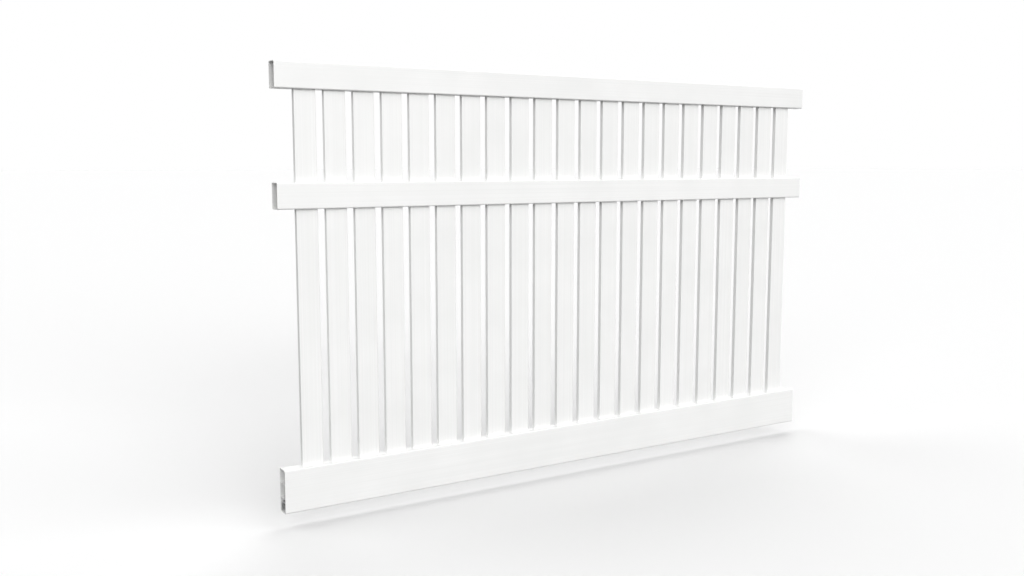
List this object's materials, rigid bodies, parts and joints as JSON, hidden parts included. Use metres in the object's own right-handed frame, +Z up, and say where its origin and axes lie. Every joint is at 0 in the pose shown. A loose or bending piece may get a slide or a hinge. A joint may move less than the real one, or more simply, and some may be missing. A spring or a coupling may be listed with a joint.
{
  "type": "semi-privacy fence panel",
  "caption": "White vinyl semi-privacy fence panel: hollow flat pickets threaded through top, middle and ribbed bottom rails, with a steel stiffener.",
  "frame": {"origin": "on the left end face of the bottom rail, at the middle of the face's lower edge, level with the panel's underside", "axes": "+X along the rails to the right end, +Y from the front to the back, +Z up"},
  "size_m": [2.4384, 0.0508, 1.524],
  "materials": {
    "white_vinyl": "satin extruded rigid vinyl",
    "galvanised_steel": "dull zinc coating with faint spangle"
  },
  "bodies": {
    "root": {"bottom_rail": "white_vinyl", "mid_rail": "white_vinyl", "top_rail": "white_vinyl", "picket_01": "white_vinyl", "picket_02": "white_vinyl", "picket_03": "white_vinyl", "picket_04": "white_vinyl", "picket_05": "white_vinyl", "picket_06": "white_vinyl", "picket_07": "white_vinyl", "picket_08": "white_vinyl", "picket_09": "white_vinyl", "picket_10": "white_vinyl", "picket_11": "white_vinyl", "picket_12": "white_vinyl", "picket_13": "white_vinyl", "picket_14": "white_vinyl", "picket_15": "white_vinyl", "picket_16": "white_vinyl", "picket_17": "white_vinyl", "picket_18": "white_vinyl", "picket_19": "white_vinyl", "picket_20": "white_vinyl", "picket_21": "white_vinyl", "picket_22": "white_vinyl", "stiffener_channel": "galvanised_steel"}
  },
  "joints": []
}
